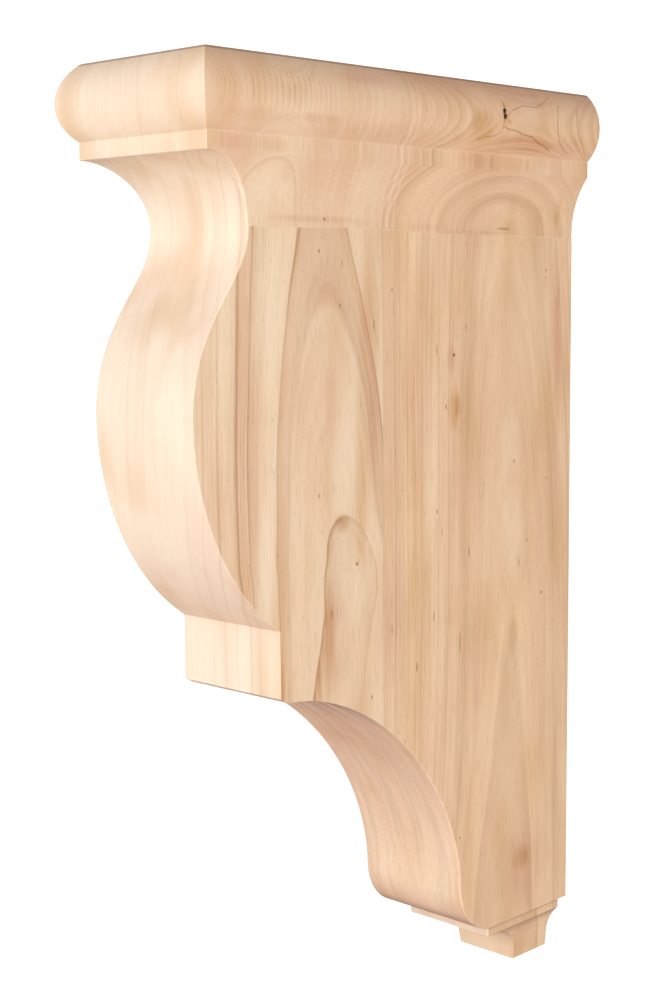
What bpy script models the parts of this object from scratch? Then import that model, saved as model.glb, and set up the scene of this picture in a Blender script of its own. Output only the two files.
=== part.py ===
"""Wooden corbel bracket: one solid, moulded round three sides and flat against the wall.

Every level of the bracket is a plain rectangle that starts at the wall. Its half
width follows the side outline and its reach follows the front outline, so the
mouldings return round the two front corners with true mitres, as a shaper leaves
them. Sizes are metres. X runs across the bracket, Y into the wall and Z up. The
origin is on the wall face, on the centre line, at half the height.
"""
import math

import bmesh
import bpy

# Body: the flat-sided board that all the mouldings are cut on
BODY_WIDTH = 0.0500

# Cap: a rounded nose, a flat fillet and a side cove below it
CAP_REACH = 0.2043
NOSE_HEIGHT = 0.0262
NOSE_SWELL = 0.0057
NOSE_TOP_SETBACK = 0.0010
FILLET_HEIGHT = 0.0061
FILLET_PROUD = 0.0074
SIDE_COVE_HEIGHT = 0.0224

# Front scroll: a hollow neck under the cap, a full belly and a plain block
NECK_REACH = 0.1802
FRONT_COVE_HEIGHT = 0.0237
OGEE_HEIGHT = 0.0625
OGEE_START_SHARE = 0.30
OGEE_END_SHARE = 0.52
BELLY_REACH = 0.2053
BELLY_HEIGHT = 0.0748
BELLY_TURN_DEGREES = 60.0
BLOCK_REACH = 0.1671
BLOCK_HEIGHT = 0.0229
BLOCK_NOSE_SETBACK = 0.0040
BLOCK_NOSE_DROP = 0.0029

# Lower hollow: a long sweep from the block down to the tail, rounded at its toe
LOWER_SWEEP_HEIGHT = 0.0913
LOWER_SWEEP_FULLNESS = 1.78
TAIL_REACH = 0.0697
TOE_RADIUS = 0.0210

# Foot: a thin plate under the body and a small coved drop under the plate
PLATE_SIDE_INSET = 0.0041
PLATE_FRONT_INSET = 0.0015
PLATE_THICKNESS = 0.0057
DROP_HEIGHT = 0.0184
DROP_WIDTH = 0.0284
DROP_REACH = 0.0223
DROP_NECK_HEIGHT = 0.0046
DROP_TAPER = 0.0006

# How finely the curves are cut into flats
NOSE_FLATS = 14
SIDE_COVE_FLATS = 14
FRONT_COVE_FLATS = 20
OGEE_FLATS = 24
BELLY_FLATS = 30
LOWER_SWEEP_FLATS = 44
TOE_FLATS = 10
DROP_COVE_FLATS = 14

# Two levels nearer to each other than this are one level
LEVEL_GAP = 0.00002

# Fullness of a hollow quarter that is part of a true ellipse
ROUND = 2.0

WOOD_COLOUR = (0.78, 0.60, 0.42, 1.0)
WOOD_ROUGHNESS = 0.55


def circle_bulge(top, bottom, height, swell, flats):
    """Outward arc through two end offsets, swelling past the lower one."""
    half = height / 2
    rise = swell + (bottom - top) / 2
    radius = (half ** 2 + rise ** 2) / (2 * rise)
    centre = (top + bottom) / 2 + rise - radius
    start = math.asin(half / radius)
    points = []
    for step in range(flats + 1):
        share = step / flats
        angle = start * (1 - 2 * share)
        lean = (bottom - top) * (share - 0.5)
        points.append((half - radius * math.sin(angle), centre + radius * math.cos(angle) + lean))
    return points


def circle_cove(depth_from, depth_to, proud, foot, flats):
    """Hollow arc that leaves an edge and dies tangent on the face below it."""
    height = depth_to - depth_from
    radius = (height ** 2 + proud ** 2) / (2 * proud)
    sweep = math.asin(height / radius)
    points = []
    for step in range(flats + 1):
        angle = sweep * (1 - step / flats)
        points.append((depth_to - radius * math.sin(angle), foot + radius * (1 - math.cos(angle))))
    return points


def hollow_quarter(start, end, fullness, flats):
    """Quarter sweep that leaves start level and reaches end upright."""
    points = []
    for step in range(flats + 1):
        angle = math.pi / 2 * step / flats
        across = math.sin(angle) ** (2 / fullness)
        down = 1 - math.cos(angle) ** (2 / fullness)
        points.append((start[0] + (end[0] - start[0]) * down, start[1] + (end[1] - start[1]) * across))
    return points


def ogee(start, end, start_share, end_share, flats):
    """Double curve between two upright tangents."""
    height = end[0] - start[0]
    depths = (start[0], start[0] + start_share * height, end[0] - end_share * height, end[0])
    reaches = (start[1], start[1], end[1], end[1])
    points = []
    for step in range(flats + 1):
        t = step / flats
        weights = ((1 - t) ** 3, 3 * (1 - t) ** 2 * t, 3 * (1 - t) * t ** 2, t ** 3)
        depth = sum(weight * value for weight, value in zip(weights, depths))
        reach = sum(weight * value for weight, value in zip(weights, reaches))
        points.append((depth, reach))
    return points


def belly_sweep(start, end, turn, flats):
    """Part of an ellipse that leaves start upright and has turned this far at end."""
    across = (start[1] - end[1]) / (1 - math.cos(turn))
    tall = (end[0] - start[0]) / math.sin(turn)
    points = []
    for step in range(flats + 1):
        angle = turn * step / flats
        points.append((start[0] + tall * math.sin(angle), start[1] - across * (1 - math.cos(angle))))
    return points


def round_toe(level, reach, radius, flats):
    """Convex quarter that turns an upright face under onto a flat underside."""
    points = []
    for step in range(flats + 1):
        angle = math.pi / 2 * step / flats
        points.append((level - radius * (1 - math.sin(angle)), reach - radius * (1 - math.cos(angle))))
    return points


def depths():
    """Depth below the top at which each part of the outlines ends."""
    heights = (
        ("nose", NOSE_HEIGHT),
        ("fillet", FILLET_HEIGHT),
        ("neck", FRONT_COVE_HEIGHT),
        ("belly", OGEE_HEIGHT),
        ("block_top", BELLY_HEIGHT),
        ("block", BLOCK_HEIGHT),
        ("block_nose", BLOCK_NOSE_DROP),
        ("lower_sweep", LOWER_SWEEP_HEIGHT),
        ("body", TOE_RADIUS),
        ("plate", PLATE_THICKNESS),
        ("drop_neck", DROP_HEIGHT - DROP_NECK_HEIGHT),
        ("drop", DROP_NECK_HEIGHT),
    )
    ends = {}
    depth = 0.0
    for name, height in heights:
        depth += height
        ends[name] = depth
    return ends


def nose_offsets():
    """The rounded nose as depth and how far it stands proud of the fillet."""
    return circle_bulge(-NOSE_TOP_SETBACK, 0.0, NOSE_HEIGHT, NOSE_SWELL, NOSE_FLATS)


def side_runs():
    """Side outline as runs of (depth below the top, half width)."""
    at = depths()
    half = BODY_WIDTH / 2
    fillet = half + FILLET_PROUD
    plate = half - PLATE_SIDE_INSET
    drop = DROP_WIDTH / 2
    neck = drop + DROP_TAPER
    cove_foot = at["fillet"] + SIDE_COVE_HEIGHT

    body = [(depth, fillet + offset) for depth, offset in nose_offsets()]
    body += circle_cove(at["fillet"], cove_foot, FILLET_PROUD, half, SIDE_COVE_FLATS)
    body += [(at["body"], half)]
    foot = circle_cove(at["plate"], at["drop_neck"], plate - neck, neck, DROP_COVE_FLATS)
    return [body, [(at["body"], plate), (at["plate"], plate)], foot + [(at["drop"], drop)]]


def front_runs():
    """Front outline as runs of (depth below the top, reach from the wall)."""
    at = depths()
    cap = (at["fillet"], CAP_REACH)
    neck = (at["neck"], NECK_REACH)
    belly = (at["belly"], BELLY_REACH)
    block = (at["block_top"], BLOCK_REACH)
    block_nose = (at["block_nose"], BLOCK_REACH - BLOCK_NOSE_SETBACK)
    tail = (at["lower_sweep"], TAIL_REACH)
    plate = TAIL_REACH - TOE_RADIUS - PLATE_FRONT_INSET
    drop_neck = (at["drop_neck"], DROP_REACH + DROP_TAPER)

    body = [(depth, CAP_REACH + offset) for depth, offset in nose_offsets()]
    body += hollow_quarter(cap, neck, ROUND, FRONT_COVE_FLATS)
    body += ogee(neck, belly, OGEE_START_SHARE, OGEE_END_SHARE, OGEE_FLATS)
    body += belly_sweep(belly, block, math.radians(BELLY_TURN_DEGREES), BELLY_FLATS)
    body += [(at["block"], BLOCK_REACH)]
    body += hollow_quarter(block_nose, tail, LOWER_SWEEP_FULLNESS, LOWER_SWEEP_FLATS)
    body += round_toe(at["body"], TAIL_REACH, TOE_RADIUS, TOE_FLATS)
    foot = hollow_quarter((at["plate"], plate), drop_neck, ROUND, DROP_COVE_FLATS)
    return [body, [(at["body"], plate), (at["plate"], plate)], foot + [(at["drop"], DROP_REACH)]]


def value_at(run, depth):
    """Outline value at a depth, straight between the outline's points."""
    for (depth_a, value_a), (depth_b, value_b) in zip(run, run[1:]):
        if depth_a <= depth <= depth_b and depth_b > depth_a:
            return value_a + (value_b - value_a) * (depth - depth_a) / (depth_b - depth_a)
    return run[-1][1] if depth >= run[-1][0] else run[0][1]


def shared_levels(side, front):
    """Every depth at which either outline has a point, once each."""
    levels = []
    for depth in sorted(point[0] for point in side + front):
        if not levels or depth - levels[-1] > LEVEL_GAP:
            levels.append(depth)
    return levels


def rectangles():
    """All the bracket's level rectangles as (depth, half width, reach), top to bottom."""
    rows = []
    for side, front in zip(side_runs(), front_runs()):
        for depth in shared_levels(side, front):
            row = (depth, value_at(side, depth), value_at(front, depth))
            if not rows or max(abs(new - old) for new, old in zip(row, rows[-1])) > LEVEL_GAP:
                rows.append(row)
    return rows


def wood_material():
    """Bare, sanded hardwood."""
    material = bpy.data.materials.new("bare_hardwood")
    material.use_nodes = True
    shader = material.node_tree.nodes["Principled BSDF"]
    shader.inputs["Base Color"].default_value = WOOD_COLOUR
    shader.inputs["Roughness"].default_value = WOOD_ROUGHNESS
    shader.inputs["Metallic"].default_value = 0.0
    return material


def build_corbel():
    """Loft the rectangles into one closed solid."""
    rows = rectangles()
    middle = rows[-1][0] / 2
    solid = bmesh.new()
    rings = []
    for depth, half, reach in rows:
        height = middle - depth
        corners = ((-half, 0.0), (-half, -reach), (half, -reach), (half, 0.0))
        rings.append([solid.verts.new((x, y, height)) for x, y in corners])
    for upper, lower in zip(rings, rings[1:]):
        for side in range(len(upper)):
            following = (side + 1) % len(upper)
            solid.faces.new((upper[side], lower[side], lower[following], upper[following]))
    solid.faces.new(rings[0])
    solid.faces.new(reversed(rings[-1]))
    bmesh.ops.recalc_face_normals(solid, faces=solid.faces)

    mesh = bpy.data.meshes.new("corbel")
    solid.to_mesh(mesh)
    solid.free()
    mesh.materials.append(wood_material())
    corbel = bpy.data.objects.new("corbel", mesh)
    bpy.context.collection.objects.link(corbel)
    return corbel


def main():
    for item in list(bpy.data.objects):
        bpy.data.objects.remove(item, do_unlink=True)
    build_corbel()


main()
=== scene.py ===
import math

import bpy
from mathutils import Matrix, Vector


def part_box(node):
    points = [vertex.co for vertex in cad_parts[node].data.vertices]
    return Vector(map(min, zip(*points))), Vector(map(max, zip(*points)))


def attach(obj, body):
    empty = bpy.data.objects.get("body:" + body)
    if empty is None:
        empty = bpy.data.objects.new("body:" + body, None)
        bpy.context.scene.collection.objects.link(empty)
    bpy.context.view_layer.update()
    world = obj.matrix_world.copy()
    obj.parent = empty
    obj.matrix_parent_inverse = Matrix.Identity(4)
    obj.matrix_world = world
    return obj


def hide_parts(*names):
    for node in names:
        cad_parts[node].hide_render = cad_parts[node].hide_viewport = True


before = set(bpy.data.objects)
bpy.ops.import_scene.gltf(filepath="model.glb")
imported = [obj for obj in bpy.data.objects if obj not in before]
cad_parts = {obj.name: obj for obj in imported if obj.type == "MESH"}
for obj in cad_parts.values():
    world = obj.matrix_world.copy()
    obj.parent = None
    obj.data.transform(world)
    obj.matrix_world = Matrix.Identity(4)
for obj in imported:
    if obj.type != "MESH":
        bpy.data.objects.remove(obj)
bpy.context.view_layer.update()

# Corbel, its shape
# The real corbel is one glued block of hardwood boards standing on end. Its outline is sawn,
# the mouldings are run round three sides with a cutter and meet in mitres, and every outside
# edge is eased by hand with sandpaper. It is fixed by its flat back. Sizes are millimetres.
MM = 0.001
block_low, block_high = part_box("corbel")
HEIGHT = (block_high.z - block_low.z) / MM
NOSE_HALF = block_high.x / MM
NOSE_REACH = -block_low.y / MM

NOSE_HEIGHT = 26.2
NOSE_SWELL = 5.7
NOSE_TOP_SETBACK = 1.0
FILLET_HEIGHT = 6.1
FILLET_PROUD = 7.4
SIDE_COVE_HEIGHT = 22.4
COVE_STEP = 0.16
COVE_STEP_HEIGHT = 0.42
NECK_SETBACK = 24.1
FRONT_COVE_HEIGHT = 23.7
OGEE_HEIGHT = 62.5
OGEE_START_SHARE = 0.30
OGEE_END_SHARE = 0.52
BELLY_PROUD = 1.0
BELLY_HEIGHT = 74.8
BELLY_TURN = math.radians(60)
BLOCK_SETBACK = 38.2
BLOCK_HEIGHT = 22.9
BLOCK_NOSE_SETBACK = 4.0
BLOCK_NOSE_DROP = 2.9
BLOCK_NOSE_START = 0.9
LOWER_SWEEP_HEIGHT = 91.3
LOWER_SWEEP_FULLNESS = 1.78
ROUND = 2.0
TAIL_REACH = 69.7
TOE_RADIUS = 21.0
PLATE_SIDE_INSET = 4.1
PLATE_FRONT_INSET = 1.5
PLATE_THICKNESS = 5.7
DROP_COVE_HEIGHT = 13.8
DROP_HALF = 14.2
DROP_REACH = 22.3
DROP_TAPER = 0.6

# How many steps each curve is cut into
NOSE_STEPS = 48
SIDE_COVE_STEPS = 36
FRONT_COVE_STEPS = 44
OGEE_STEPS = 40
BELLY_STEPS = 48
LOWER_SWEEP_STEPS = 64
TOE_STEPS = 18
DROP_COVE_STEPS = 20

# Radius of each eased edge, and of the upright front corners by depth below the top
TOP_EASE = 0.5
FILLET_EASE = 0.5
FOOT_EASE = 0.3
WALL_EASE = 0.25
CORNER_EASES = (
    (0, 0.45), (32, 0.45), (35, 0.8), (42, 1.15), (66, 1), (80, 0.4), (125, 0.22), (190, 0.3),
    (194, 0.55), (214, 0.55), (222, 0.4), (262, 0.35), (290, 0.5), (325, 0.6), (331.4, 0.5), (356, 0.3),
)

fillet_half = NOSE_HALF - NOSE_SWELL
body_half = fillet_half - FILLET_PROUD
cap_reach = NOSE_REACH - NOSE_SWELL
neck_reach = cap_reach - NECK_SETBACK
belly_reach = cap_reach + BELLY_PROUD
block_reach = belly_reach - BLOCK_SETBACK
plate_half = body_half - PLATE_SIDE_INSET
plate_reach = TAIL_REACH - TOE_RADIUS - PLATE_FRONT_INSET

nose_end = NOSE_HEIGHT
fillet_end = nose_end + FILLET_HEIGHT
side_cove_end = fillet_end + SIDE_COVE_HEIGHT
neck_end = fillet_end + FRONT_COVE_HEIGHT
ogee_end = neck_end + OGEE_HEIGHT
belly_end = ogee_end + BELLY_HEIGHT
block_end = belly_end + BLOCK_HEIGHT
block_nose_end = block_end + BLOCK_NOSE_DROP
sweep_end = block_nose_end + LOWER_SWEEP_HEIGHT
body_end = sweep_end + TOE_RADIUS
plate_end = body_end + PLATE_THICKNESS
drop_cove_end = plate_end + DROP_COVE_HEIGHT


def arc_steps(count):
    """Shares of a quarter turn, in radians, from none to the whole."""
    return [math.pi / 2 * step / count for step in range(count + 1)]


def nose_curve(face):
    """The rounded nose: an arc that swells past the fillet face it ends on."""
    half = NOSE_HEIGHT / 2
    rise = NOSE_SWELL + NOSE_TOP_SETBACK / 2
    radius = (half ** 2 + rise ** 2) / (2 * rise)
    start = math.asin(half / radius)
    points = []
    for step in range(NOSE_STEPS + 1):
        share = step / NOSE_STEPS
        angle = start * (1 - 2 * share)
        lean = NOSE_TOP_SETBACK * (share - 0.5)
        offset = rise - radius - NOSE_TOP_SETBACK / 2 + radius * math.cos(angle) + lean
        points.append((half - radius * math.sin(angle), face + offset))
    return points


def dying_cove(top, bottom, proud, foot):
    """Hollow arc that leaves an edge and dies flush on the face below it."""
    height = bottom - top
    radius = (height ** 2 + proud ** 2) / (2 * proud)
    sweep = math.asin(height / radius)
    angles = [sweep * (1 - step / SIDE_COVE_STEPS) for step in range(SIDE_COVE_STEPS + 1)]
    return [(bottom - radius * math.sin(angle), foot + radius * (1 - math.cos(angle))) for angle in angles]


def hollow_quarter(start, end, fullness, steps):
    """Quarter sweep that leaves start level and reaches end upright."""
    points = []
    for angle in arc_steps(steps):
        down = 1 - math.cos(angle) ** (2 / fullness)
        across = math.sin(angle) ** (2 / fullness)
        points.append((start[0] + (end[0] - start[0]) * down, start[1] + (end[1] - start[1]) * across))
    return points


def round_over(depth_from, depth_to, reach, setback, steps=8):
    """Convex quarter that leaves a face upright and turns level under it."""
    return [
        (depth_from + (depth_to - depth_from) * math.sin(angle), reach - setback * (1 - math.cos(angle)))
        for angle in arc_steps(steps)
    ]


def ogee_curve(start, end):
    """The double curve from the neck out to the fullest part of the belly."""
    height = end[0] - start[0]
    depths = (start[0], start[0] + OGEE_START_SHARE * height, end[0] - OGEE_END_SHARE * height, end[0])
    reaches = (start[1], start[1], end[1], end[1])
    points = []
    for step in range(OGEE_STEPS + 1):
        t = step / OGEE_STEPS
        weights = ((1 - t) ** 3, 3 * (1 - t) ** 2 * t, 3 * (1 - t) * t ** 2, t ** 3)
        points.append(tuple(sum(w * v for w, v in zip(weights, row)) for row in (depths, reaches)))
    return points


def belly_curve(start, end):
    """Part of an ellipse that leaves start upright and has turned BELLY_TURN at end."""
    across = (start[1] - end[1]) / (1 - math.cos(BELLY_TURN))
    tall = (end[0] - start[0]) / math.sin(BELLY_TURN)
    angles = [BELLY_TURN * step / BELLY_STEPS for step in range(BELLY_STEPS + 1)]
    return [
        (start[0] + tall * math.sin(angle), start[1] - across * (1 - math.cos(angle))) for angle in angles
    ]


def value_at(run, depth):
    """Reading of a run of (depth, value) points, straight between them."""
    for (depth_a, value_a), (depth_b, value_b) in zip(run, run[1:]):
        if depth_a <= depth <= depth_b and depth_b > depth_a:
            return value_a + (value_b - value_a) * (depth - depth_a) / (depth_b - depth_a)
    return run[-1][1] if depth >= run[-1][0] else run[0][1]


def eased(distance, radius):
    """How far an eased edge pulls a face in, this far from the edge."""
    inside = max(0.0, radius - max(0.0, distance))
    return radius - math.sqrt(radius ** 2 - inside ** 2)


# Body outlines, side and front, as runs of (depth below the top, half width or reach)
side_body = nose_curve(fillet_half)
side_body += dying_cove(fillet_end, side_cove_end, FILLET_PROUD + COVE_STEP, body_half - COVE_STEP)
side_body += [(side_cove_end + COVE_STEP_HEIGHT, body_half), (body_end, body_half)]
front_body = nose_curve(cap_reach)
front_body += round_over(fillet_end - FILLET_EASE, fillet_end, cap_reach, FILLET_EASE, 5)
front_body += hollow_quarter(
    (fillet_end, cap_reach - FILLET_EASE), (neck_end, neck_reach), ROUND, FRONT_COVE_STEPS
)
front_body += ogee_curve((neck_end, neck_reach), (ogee_end, belly_reach))
front_body += belly_curve((ogee_end, belly_reach), (belly_end, block_reach))
front_body += [(block_end + BLOCK_NOSE_START, block_reach)]
sweep_start = (block_nose_end, block_reach - BLOCK_NOSE_SETBACK)
front_body += hollow_quarter(sweep_start, (sweep_end, TAIL_REACH), LOWER_SWEEP_FULLNESS, LOWER_SWEEP_STEPS)
front_body += round_over(sweep_end, body_end, TAIL_REACH, TOE_RADIUS, TOE_STEPS)

# Foot: the plate, then the little drop with its cove
side_plate = [(body_end, plate_half), (plate_end, plate_half)]
front_plate = [(body_end, plate_reach), (plate_end, plate_reach)]
side_drop = dying_cove(plate_end, drop_cove_end, plate_half - DROP_HALF - DROP_TAPER, DROP_HALF + DROP_TAPER)
side_drop += [(HEIGHT, DROP_HALF)]
drop_neck = (drop_cove_end, DROP_REACH + DROP_TAPER)
front_drop = hollow_quarter((plate_end, plate_reach), drop_neck, ROUND, DROP_COVE_STEPS)
front_drop += [(HEIGHT, DROP_REACH)]

# The mesh is finer round the knot, so that its hole and crack can be cut into it
KNOT_DEPTHS = (9.0, 20.0)
KNOT_STEP = 0.28
LEVEL_GAP = 0.03


def level_rows(side, front, ease):
    """Levels of one run as (depth, half width, reach), eased at its top and bottom edges."""
    top, bottom = side[0][0], side[-1][0]
    depths = {round(point[0], 4) for point in side + front}
    for angle in arc_steps(4):
        inset = ease * (1 - math.cos(angle))
        depths |= {round(top + inset, 4), round(bottom - inset, 4)}
    depths |= {round(top + 2 * ease, 4), round(bottom - 2 * ease, 4)}
    if top < KNOT_DEPTHS[0] < bottom:
        count = int((KNOT_DEPTHS[1] - KNOT_DEPTHS[0]) / KNOT_STEP)
        depths |= {round(KNOT_DEPTHS[0] + step * KNOT_STEP, 4) for step in range(count + 1)}
    rows = []
    for depth in sorted(depths):
        pull = eased(depth - top, ease) + eased(bottom - depth, ease)
        row = (depth, value_at(side, depth) - pull, value_at(front, depth) - pull)
        if not rows or max(abs(new - old) for new, old in zip(row, rows[-1])) > LEVEL_GAP:
            rows.append(row)
    return rows


levels = level_rows(side_body, front_body, TOP_EASE)
levels += level_rows(side_plate, front_plate, FOOT_EASE)
levels += level_rows(side_drop, front_drop, FOOT_EASE)


def in_scene(name, data):
    """An object of this mesh, lamp or camera, linked into the scene."""
    made = bpy.data.objects.new(name, data)
    bpy.context.scene.collection.objects.link(made)
    return made


# The outline is the line that the near front corner follows, one point for each level
outline_points = [(half * MM, -reach * MM, (HEIGHT / 2 - depth) * MM) for depth, half, reach in levels]
outline_points = [outline_points[0]] + outline_points + [outline_points[-1]]
outline_mesh = bpy.data.meshes.new("corbel_outline")
outline_mesh.from_pydata(outline_points, [(i, i + 1) for i in range(len(outline_points) - 1)], [])
corner_ease = outline_mesh.attributes.new("corner_ease", "FLOAT", "POINT")
closing = outline_mesh.attributes.new("closing", "FLOAT", "POINT")
for index, point in enumerate(outline_points):
    depth = HEIGHT / 2 - point[2] / MM
    corner_ease.data[index].value = value_at(CORNER_EASES, depth) * MM
    closing.data[index].value = 1.0 if index in (0, len(outline_points) - 1) else 0.0
outline = in_scene("corbel_outline", outline_mesh)

# The section is a rectangle of half width 1 and reach 1 that starts at the wall. Each of its
# points also says how an eased corner, at the front and at the wall, moves it for each metre
KNOT_REACHES = (55.5, 66.5)
SIDE_STEPS = 62
FRONT_STEPS = 26
SHARE_GAP = 0.0009


def side_shares(knotted):
    """Where the upright lines of a side stand, as shares of its length from wall to front."""
    shares = {step / SIDE_STEPS for step in range(SIDE_STEPS + 1)} | {0.002, 0.998}
    if knotted:
        count = int((KNOT_REACHES[1] - KNOT_REACHES[0]) / KNOT_STEP)
        shares |= {(KNOT_REACHES[0] + step * KNOT_STEP) / NOSE_REACH for step in range(count + 1)}
    kept = []
    for share in sorted(shares):
        if not kept or share - kept[-1] > SHARE_GAP:
            kept.append(share)
    return kept


section = []
for step in range(9):
    across = -1 + step / 4
    section.append(((across, 0, 1), (0, 0, 0), (-across, 0, 0)))
for angle in arc_steps(3)[1:]:
    section.append(((1, 0, 1), (0, 0, 0), (math.sin(angle) - 1, math.cos(angle) - 1, 0)))
for share in side_shares(True)[1:]:
    section.append(((1, share, 1), (0, share, 0), (0, share - 1, 0)))
for angle in arc_steps(6)[1:]:
    section.append(((1, 1, 1), (math.cos(angle) - 1, 1 - math.sin(angle), 0), (0, 0, 0)))
front_shares = [-0.985] + [-1 + 2 * step / FRONT_STEPS for step in range(1, FRONT_STEPS)] + [0.985]
for across in reversed(front_shares):
    section.append(((across, 1, 1), (-across, 0, 0), (0, 0, 0)))
for angle in reversed(arc_steps(6)):
    section.append(((-1, 1, 1), (1 - math.cos(angle), 1 - math.sin(angle), 0), (0, 0, 0)))
for share in reversed(side_shares(False)[:-1]):
    section.append(((-1, share, 1), (0, share, 0), (0, share - 1, 0)))
for angle in reversed(arc_steps(3)[1:-1]):
    section.append(((-1, 0, 1), (0, 0, 0), (1 - math.sin(angle), math.cos(angle) - 1, 0)))

section_mesh = bpy.data.meshes.new("corbel_section")
section_mesh.from_pydata([row[0] for row in section], [], [])
front_move = section_mesh.attributes.new("front_move", "FLOAT_VECTOR", "POINT")
wall_move = section_mesh.attributes.new("wall_move", "FLOAT_VECTOR", "POINT")
for index, row in enumerate(section):
    front_move.data[index].vector = row[1]
    wall_move.data[index].vector = row[2]
section_object = in_scene("corbel_section", section_mesh)


def add(tree, kind, inputs=None, **settings):
    """Adds one node. inputs gives a socket, by name or number, a value or what links to it."""
    made = tree.nodes.new(kind)
    for name, value in settings.items():
        setattr(made, name, value)
    for name, value in (inputs or {}).items():
        if isinstance(name, int):
            socket = made.inputs[name]
        else:
            socket = next(s for s in made.inputs if s.name == name and s.enabled)
        if isinstance(value, bpy.types.Node):
            value = next(s for s in value.outputs if s.enabled)
        if isinstance(value, bpy.types.NodeSocket):
            tree.links.new(value, socket)
        else:
            socket.default_value = value
    return made


wood = bpy.data.materials.new("sanded_rubberwood")

loft = bpy.data.node_groups.new("corbel loft", "GeometryNodeTree")
loft_inputs = {}
for name, kind in (
    ("Outline", "NodeSocketGeometry"),
    ("Section", "NodeSocketObject"),
    ("Wall Ease", "NodeSocketFloat"),
    ("Weld Distance", "NodeSocketFloat"),
    ("Wood", "NodeSocketMaterial"),
):
    loft_inputs[name] = loft.interface.new_socket(name=name, in_out="INPUT", socket_type=kind)
loft.interface.new_socket(name="Corbel", in_out="OUTPUT", socket_type="NodeSocketGeometry")
given = add(loft, "NodeGroupInput").outputs
section_shape = add(loft, "GeometryNodeObjectInfo", {"Object": given["Section"]}).outputs["Geometry"]
rows_node = add(loft, "GeometryNodeAttributeDomainSize", {"Geometry": given["Outline"]})
columns_node = add(loft, "GeometryNodeAttributeDomainSize", {"Geometry": section_shape})
row_count = rows_node.outputs["Point Count"]
column_count = columns_node.outputs["Point Count"]
round_once = add(loft, "FunctionNodeIntegerMath", {0: column_count, 1: 1}, operation="ADD")
grid = add(loft, "GeometryNodeMeshGrid", {"Vertices X": round_once, "Vertices Y": row_count})
index = add(loft, "GeometryNodeInputIndex")
row_index = add(loft, "FunctionNodeIntegerMath", {0: index, 1: row_count}, operation="MODULO")
turn_index = add(loft, "FunctionNodeIntegerMath", {0: index, 1: row_count}, operation="DIVIDE_FLOOR")
column_index = add(loft, "FunctionNodeIntegerMath", {0: turn_index, 1: column_count}, operation="MODULO")
position = add(loft, "GeometryNodeInputPosition")
readings = {}
for name, kind, shape, at in (
    ("outline", "FLOAT_VECTOR", given["Outline"], row_index),
    ("corner_ease", "FLOAT", given["Outline"], row_index),
    ("closing", "FLOAT", given["Outline"], row_index),
    ("section", "FLOAT_VECTOR", section_shape, column_index),
    ("front_move", "FLOAT_VECTOR", section_shape, column_index),
    ("wall_move", "FLOAT_VECTOR", section_shape, column_index),
):
    read = position
    if name not in ("outline", "section"):
        read = add(loft, "GeometryNodeInputNamedAttribute", {"Name": name}, data_type=kind)
    readings[name] = add(
        loft, "GeometryNodeSampleIndex", {"Geometry": shape, "Value": read, "Index": at}, data_type=kind
    )
softened = add(
    loft, "ShaderNodeVectorMath", {0: readings["outline"], 1: readings["section"]}, operation="MULTIPLY"
)
for move, ease in (("front_move", readings["corner_ease"]), ("wall_move", given["Wall Ease"])):
    moved = add(loft, "ShaderNodeVectorMath", {0: readings[move], "Scale": ease}, operation="SCALE")
    softened = add(loft, "ShaderNodeVectorMath", {0: softened, 1: moved}, operation="ADD")
middle = add(loft, "ShaderNodeVectorMath", {0: readings["outline"], 1: (0, 0.5, 1)}, operation="MULTIPLY")
closed = add(
    loft, "ShaderNodeMix", {"Factor": readings["closing"], "A": softened, "B": middle}, data_type="VECTOR"
)
placed = add(loft, "GeometryNodeSetPosition", {"Geometry": grid.outputs["Mesh"], "Position": closed})
welded = add(loft, "GeometryNodeMergeByDistance", {"Geometry": placed, "Distance": given["Weld Distance"]})
smooth = add(loft, "GeometryNodeSetShadeSmooth", {"Geometry": welded})
real = add(loft, "GeometryNodeRealizeInstances", {"Geometry": smooth})
finished = add(loft, "GeometryNodeSetMaterial", {"Geometry": real, "Material": given["Wood"]})
add(loft, "NodeGroupOutput", {"Corbel": finished})

WELD_DISTANCE = 0.000002
modifier = outline.modifiers.new("loft", "NODES")
modifier.node_group = loft
for name, value in (
    ("Section", section_object),
    ("Wall Ease", WALL_EASE * MM),
    ("Weld Distance", WELD_DISTANCE),
    ("Wood", wood),
):
    modifier[loft_inputs[name].identifier] = value
bpy.context.view_layer.update()
evaluated = outline.evaluated_get(bpy.context.evaluated_depsgraph_get())
corbel_mesh = bpy.data.meshes.new_from_object(evaluated)
outline.modifiers.remove(modifier)
for helper in (outline, section_object):
    bpy.data.objects.remove(helper)

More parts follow.
